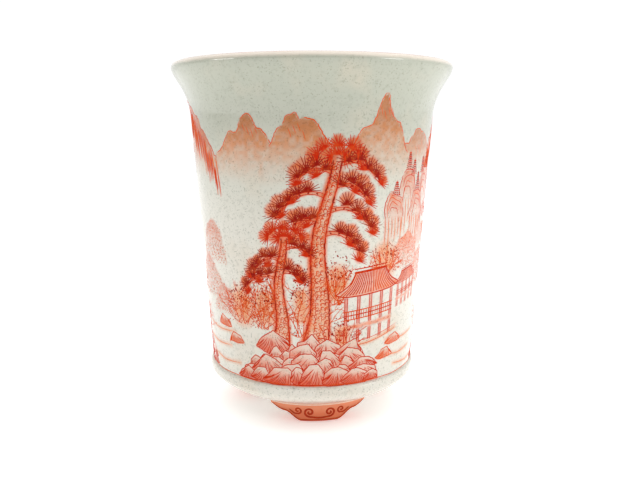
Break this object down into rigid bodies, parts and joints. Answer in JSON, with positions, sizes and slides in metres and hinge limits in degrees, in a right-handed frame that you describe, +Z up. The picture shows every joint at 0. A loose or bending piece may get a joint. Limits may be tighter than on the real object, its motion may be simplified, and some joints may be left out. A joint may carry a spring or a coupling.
{
  "type": "brush pot",
  "caption": "Footed ceramic brush pot: tapered round wall with a flared rolled lip, a ledge above a rounded base and cloud-shaped feet, painted with an iron-red landscape.",
  "frame": {"origin": "on the table plane, on the pot's axis", "axes": "+Z up along the pot's axis, -Y towards the front foot and the middle of the painted scene, +X to the viewer's right"},
  "size_m": [0.1088, 0.1088, 0.136],
  "materials": {
    "painted_glaze": "glossy pale grey celadon glaze painted with iron-red enamel",
    "lip_glaze": "glossy pale grey celadon glaze, thin iron-red line on the rim",
    "base_glaze": "glossy pale grey glaze",
    "foot_enamel": "coral iron-red enamel over glaze with darker scrolls"
  },
  "bodies": {
    "root": {"wall": "painted_glaze", "lip": "lip_glaze", "base_dish": "base_glaze", "foot_front": "foot_enamel", "foot_rear_right": "foot_enamel", "foot_rear_left": "foot_enamel"}
  },
  "joints": []
}
